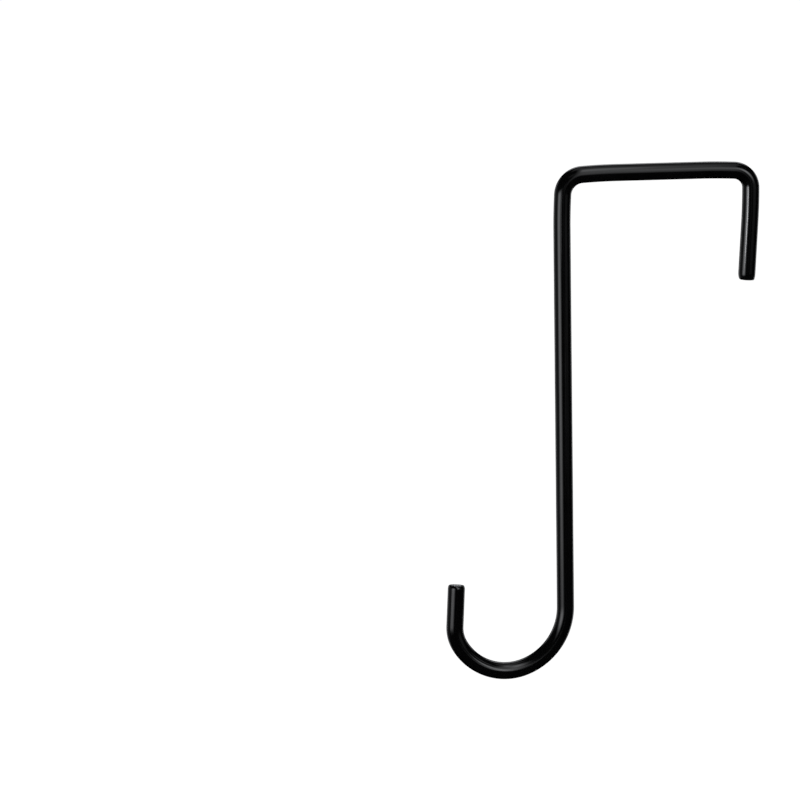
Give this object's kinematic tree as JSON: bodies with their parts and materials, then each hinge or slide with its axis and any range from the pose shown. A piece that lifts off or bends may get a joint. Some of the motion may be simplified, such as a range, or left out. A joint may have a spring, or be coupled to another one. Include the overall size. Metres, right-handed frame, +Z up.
{
  "type": "fence hook",
  "caption": "Over-the-rail hook for a hanging planter: a square clip at the top of a long leg, and an open round bowl at its foot. Steel rod in a black vinyl sheath.",
  "frame": {"origin": "middle of the underside of the bar, where the hook sits on the fence rail", "axes": "+Z up; +X from the long leg towards the free leg of the clip, across the top of the fence; Y along the fence, square to the plane that the hook is bent in"},
  "size_m": [0.1649, 0.0088, 0.2659],
  "materials": {
    "steel": "sawn steel, seen only at the cut ends",
    "vinyl": "glossy black vinyl with a faint orange peel"
  },
  "bodies": {
    "root": {"steel_rod": "steel", "vinyl_sheath": "vinyl"}
  },
  "joints": []
}
